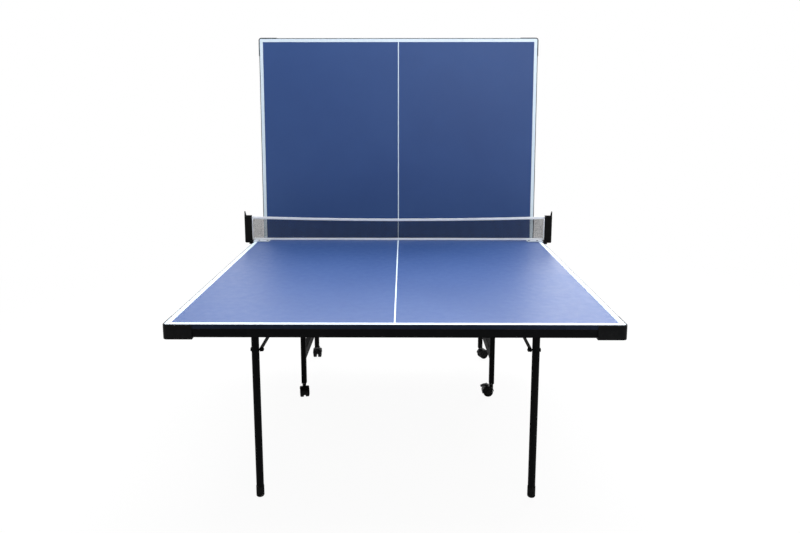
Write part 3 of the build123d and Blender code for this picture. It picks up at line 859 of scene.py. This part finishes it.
def makeScrew():
    radius, tall = screwSet["radius"], screwSet["tall"]
    recess = screwSet["recess"]
    screw = begin(
        "cylinder", "panScrew", vertices=screwSet["sides"], radius=radius, depth=tall,
        location=(0, 0, tall / 2),
    )
    pick(screw, "FACE", faces((0, 0, 1)))
    bpy.ops.mesh.inset(thickness=radius - recess)
    bpy.ops.mesh.inset(thickness=recess * screwSet["recessTaper"], depth=-tall * screwSet["recessDeep"])
    bpy.ops.object.mode_set(mode="OBJECT")

    def onRim(edge):
        high, out = tall * nearly["onRim"], radius * nearly["onRim"]
        return all(end.z > high and end.xy.length > out for end in endsOf(screw, edge))

    pick(screw, "EDGE", onRim)
    bpy.ops.mesh.bevel(offset=tall * screwSet["round"], segments=screwSet["roundSteps"], affect="EDGES")
    settle(screw)
    return screw


def screwPlaces():
    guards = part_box("near_corner_guards")
    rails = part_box("near_frame_rails")
    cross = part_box("near_cross_rails")
    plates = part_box("near_hinge_plates")
    pivotY = joints["near_fold"]["pos_m"][1]
    inset = screwSet["guardInset"]
    along = screwSet["guardAlong"]
    down = (0, 0, -1)
    places = []
    for side in (-1, 1):
        places.append(facing((side * (guards[1].x - along), guards[0].y + inset, guards[0].z), down))
        places.append(facing((side * (guards[1].x - inset), guards[0].y + along, guards[0].z), down))
        railX = side * (rails[1].x - screwSet["railHalf"])
        for station in screwSet["railStations"]:
            places.append(facing((railX, netY - station, rails[0].z), down))
        for station in screwSet["crossStations"]:
            for y in (cross[0].y + screwSet["crossHalf"], cross[1].y - screwSet["crossHalf"]):
                places.append(facing((side * station, y, cross[0].z), down))
        for end in (-1, 1):
            y, z = pivotY + end * screwSet["hingeReach"], rails[0].z + screwSet["hingeRise"]
            places.append(facing((side * plates[1].x, y, z), (side, 0, 0)))
    return places


screw = makeScrew()
nearScrews = stamped(screw, screwPlaces(), "nearScrews")
farScrews = copyOf(nearScrews, "farScrews", toFarHalf)
dress(nearScrews, "near_half", finishes["zinc_steel"])
dress(farScrews, "far_half", finishes["zinc_steel"])
print("screws set on both halves")


# net clamps: a pale pressed plate over each upper jaw, held by two dark screws
clampSet = {
    "inner": 0.682,
    "outer": 0.766,
    "front": 0.040,        # before the net line
    "back": 0.006,
    "jawTop": 0.763,
    "over": 0.0006,        # how far the plate wraps past the jaw
    "thick": 0.0012,
    "clear": 0.0004,
    "corner": 0.005,
    "cornerSteps": 4,
    "edge": 0.0007,
    "edgeRound": 0.8,      # share of the edge
    "edgeSteps": 3,
    "panelInset": 0.005,
    "panelDrop": 0.0005,
    "screwAlong": (0.694, 0.738),
    "slack": 0.00001,
}


def makeClampPlate(side):
    over, top = clampSet["over"], clampSet["jawTop"] + clampSet["thick"]
    edges = sorted((side * (clampSet["inner"] - over), side * clampSet["outer"]))
    low = Vector((edges[0], netY - clampSet["front"] - over, nearBoard[1].z + clampSet["clear"]))
    high = Vector((edges[1], netY - clampSet["back"] + over, top))
    plate = begin("cube", "clampPlate", scale=high - low, size=1, location=(low + high) / 2)

    def isInnerCorner(edge):
        first = endsOf(plate, edge)[0]
        return runsAlong(plate, edge, 2) and abs(first.x) < (clampSet["inner"] + clampSet["outer"]) / 2

    pick(plate, "EDGE", isInnerCorner)
    bpy.ops.mesh.bevel(offset=clampSet["corner"], segments=clampSet["cornerSteps"], affect="EDGES")
    bpy.ops.object.mode_set(mode="OBJECT")
    pick(plate, "FACE", faces((0, 0, 1)))
    bpy.ops.mesh.inset(thickness=clampSet["edge"], depth=0)
    bpy.ops.mesh.inset(thickness=clampSet["panelInset"], depth=0)
    bpy.ops.mesh.inset(thickness=clampSet["edge"], depth=-clampSet["panelDrop"])
    bpy.ops.object.mode_set(mode="OBJECT")

    def isInside(end):
        margin = clampSet["edge"] / 2
        return low.x + margin < end.x < high.x - margin and low.y + margin < end.y < high.y - margin

    def onRim(edge):
        return all(end.z > top - clampSet["slack"] and not isInside(end) for end in endsOf(plate, edge))

    pick(plate, "EDGE", onRim)
    rounding = clampSet["edge"] * clampSet["edgeRound"]
    bpy.ops.mesh.bevel(offset=rounding, segments=clampSet["edgeSteps"], affect="EDGES")
    settle(plate)
    return plate


clampScrewSpots = []
seatY = netY - (clampSet["front"] + clampSet["back"]) / 2
seatZ = clampSet["jawTop"] + clampSet["thick"] - clampSet["panelDrop"]
for side, hand in ((-1, "Left"), (1, "Right")):
    plate = makeClampPlate(side)
    plate.name = plate.data.name = f"clampPlate{hand}"
    dress(plate, "near_half", finishes["clampPlate"])
    for along in clampSet["screwAlong"]:
        clampScrewSpots.append(facing((side * along, seatY, seatZ), (0, 0, 1)))
clampScrewHeads = stamped(screw, clampScrewSpots, "clampScrewHeads")
dress(clampScrewHeads, "near_half", finishes["black_enamel"])
discard(screw)
print("clamp plates fitted")


# casters: a ribbed hub cover on each wheel and grip ribs on the brake pedals
hubSet = {
    "faceOut": 0.0227,     # outer face of a wheel from the middle of its axle
    "dishDeep": 0.003,
    "sides": 24,
    "bossRadius": 0.0086,
    "bossTall": 0.0009,
    "bossSlope": 0.25,     # shares of the boss's radius and height
    "bossStep": 0.4,
    "pinRadius": 0.0034,
    "pinSlope": 0.1,       # shares of the pin's radius and the boss's height
    "pinSink": 0.8,
    "pinDome": 0.3,
    "pinRise": 0.4,
    "ribs": 6,
    "ribFrom": 0.0080,
    "ribTo": 0.0186,
    "ribWide": 0.0022,
    "ribTall": 0.0024,
    "ribTaper": (0.96, 0.6, 1),
}


def makeHubCover():
    radius, tall, pin = hubSet["bossRadius"], hubSet["bossTall"], hubSet["pinRadius"]
    boss = begin("cylinder", "hubBoss", vertices=hubSet["sides"], radius=radius, depth=tall)
    pick(boss, "FACE", faces((0, 0, 1)))
    bpy.ops.mesh.inset(thickness=radius * hubSet["bossSlope"], depth=tall * hubSet["bossStep"])
    bpy.ops.mesh.inset(thickness=radius * (1 - hubSet["bossSlope"]) - pin)
    bpy.ops.mesh.inset(thickness=pin * hubSet["pinSlope"], depth=-tall * hubSet["pinSink"])
    bpy.ops.mesh.inset(thickness=pin * hubSet["pinDome"], depth=tall * hubSet["pinRise"])
    bpy.ops.object.mode_set(mode="OBJECT")
    length = hubSet["ribTo"] - hubSet["ribFrom"]
    middle = (hubSet["ribFrom"] + hubSet["ribTo"]) / 2
    rib = begin(
        "cube", "hubRib", scale=(length, hubSet["ribWide"], hubSet["ribTall"]), size=1,
        location=(middle, 0, hubSet["ribTall"] / 2 - hubSet["dishDeep"]),
    )
    pick(rib, "FACE", faces((0, 0, 1)))
    bpy.ops.transform.resize(value=hubSet["ribTaper"])
    bpy.ops.object.mode_set(mode="OBJECT")
    count = hubSet["ribs"]
    turns = [Matrix.Rotation(2 * math.pi * step / count, 4, "Z") for step in range(count)]
    ribs = stamped(rib, turns, "hubRibs")
    discard(rib)
    cover = joined([boss, ribs], "hubCover")
    settle(cover)
    return cover


pedalSet = {
    "knee": (-0.039, 0.0585),      # back from the stem, and up
    "tip": (-0.054, 0.051),
    "thick": 0.0019,
    "ribs": 4,
    "size": (0.0170, 0.0014, 0.0012),
    "round": 0.35,         # share of a rib's height
    "roundSteps": 2,
    "firstRib": 0.6,       # of a step from the knee
}


def makePedalRib():
    rib = begin("cube", "pedalRib", scale=pedalSet["size"], size=1)
    pick(rib, "EDGE", lambda edge: runsAlong(rib, edge, 0))
    rounding = pedalSet["size"][2] * pedalSet["round"]
    bpy.ops.mesh.bevel(offset=rounding, segments=pedalSet["roundSteps"], affect="EDGES")
    settle(rib)
    return rib


hubCover = makeHubCover()
pedalRib = makePedalRib()
casterNames = [name[len("swivel_"):] for name in joints if name.startswith("swivel_")]
for name in casterNames:
    spin = joints[f"wheel_spin_{name}"]
    hub, axle = Vector(spin["pos_m"]), Vector(spin["axis"])
    places = [facing(hub + side * hubSet["faceOut"] * axle, side * axle) for side in (-1, 1)]
    covers = stamped(hubCover, places, f"hubCovers_{name}")
    dress(covers, f"wheels_{name}", finishes["caster_plastic"])
    if f"brake_press_{name}" not in joints:
        continue
    stem = Vector(joints[f"swivel_{name}"]["pos_m"])
    turn = Matrix.Translation((stem.x, stem.y, 0)) @ Matrix.Rotation(math.atan2(axle.y, axle.x), 4, "Z")
    knee, tip = Vector(pedalSet["knee"]), Vector(pedalSet["tip"])
    run = (tip - knee).normalized()
    rise = Vector((run.y, -run.x))
    slope = Matrix.Rotation(math.atan2(-run.y, -run.x), 4, "X")
    places = []
    for step in range(pedalSet["ribs"]):
        share = (step + pedalSet["firstRib"]) / pedalSet["ribs"]
        spot = knee.lerp(tip, share) + rise * pedalSet["thick"]
        places.append(turn @ Matrix.Translation((0, spot.x, spot.y)) @ slope)
    ribs = stamped(pedalRib, places, f"pedalRibs_{name}")
    dress(ribs, f"brake_lever_{name}", finishes["caster_plastic"])
discard(hubCover)
discard(pedalRib)
print("hub covers and pedal ribs on", len(casterNames), "casters")


# trolley: rippled weld beads where the tubes meet
weldSet = {
    "sides": 8,
    "length": 0.0205,
    "radius": 0.0021,
    "ripples": 7,
    "cuts": 20,
    "ripple": 0.16,
    "endPower": 8,         # the higher, the blunter the ends
    "endLeast": 0.05,
    "smoothAngle": 60,
    "tubeHalf": 0.0125,
    "sink": 0.0006,
    "railSpans": ((0.193, 0.244), (0.3875, 0.4125)),      # bottom and top of the side rails
}


def makeBead():
    bead = begin(
        "cylinder", "weldBead", vertices=weldSet["sides"],
        radius=weldSet["radius"], depth=weldSet["length"], rotation=(0, math.pi / 2, 0),
    )
    pick(bead, "EDGE", lambda edge: runsAlong(bead, edge, 0))
    bpy.ops.mesh.subdivide(number_cuts=weldSet["cuts"])
    bpy.ops.object.mode_set(mode="OBJECT")
    for vertex in bead.data.vertices:
        along = 2 * vertex.co.x / weldSet["length"]
        swell = 1 + weldSet["ripple"] * math.cos(along * weldSet["ripples"] * math.pi)
        taper = math.sqrt(max(weldSet["endLeast"], 1 - along ** weldSet["endPower"]))
        vertex.co.y *= swell * taper
        vertex.co.z *= swell * taper
    settle(bead, weldSet["smoothAngle"])
    return bead


def weldPlaces():
    half, sink = weldSet["tubeHalf"], weldSet["sink"]
    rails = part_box("trolley_side_rails")
    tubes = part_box("trolley_cross_tubes")
    places = []
    for low, high in weldSet["railSpans"]:
        for x in (rails[0].x + half, rails[1].x - half):
            for y, inward in ((rails[0].y, 1), (rails[1].y, -1)):
                for z in (low - sink, high + sink):
                    places.append(Matrix.Translation((x, y + inward * sink, z)))
    quarter = Matrix.Rotation(math.pi / 2, 4, "Z")
    for middle in (tubes[0].z + half, tubes[1].z - half):
        for y in (tubes[0].y + half, tubes[1].y - half):
            for x, inward in ((tubes[0].x, 1), (tubes[1].x, -1)):
                for up in (-1, 1):
                    spot = Matrix.Translation((x + inward * sink, y, middle + up * (half + sink)))
                    places.append(spot @ quarter)
    return places


bead = makeBead()
trolleyWelds = stamped(bead, weldPlaces(), "trolleyWelds")
dress(trolleyWelds, "trolley", finishes["black_enamel"])
discard(bead)
print("weld beads on the trolley")
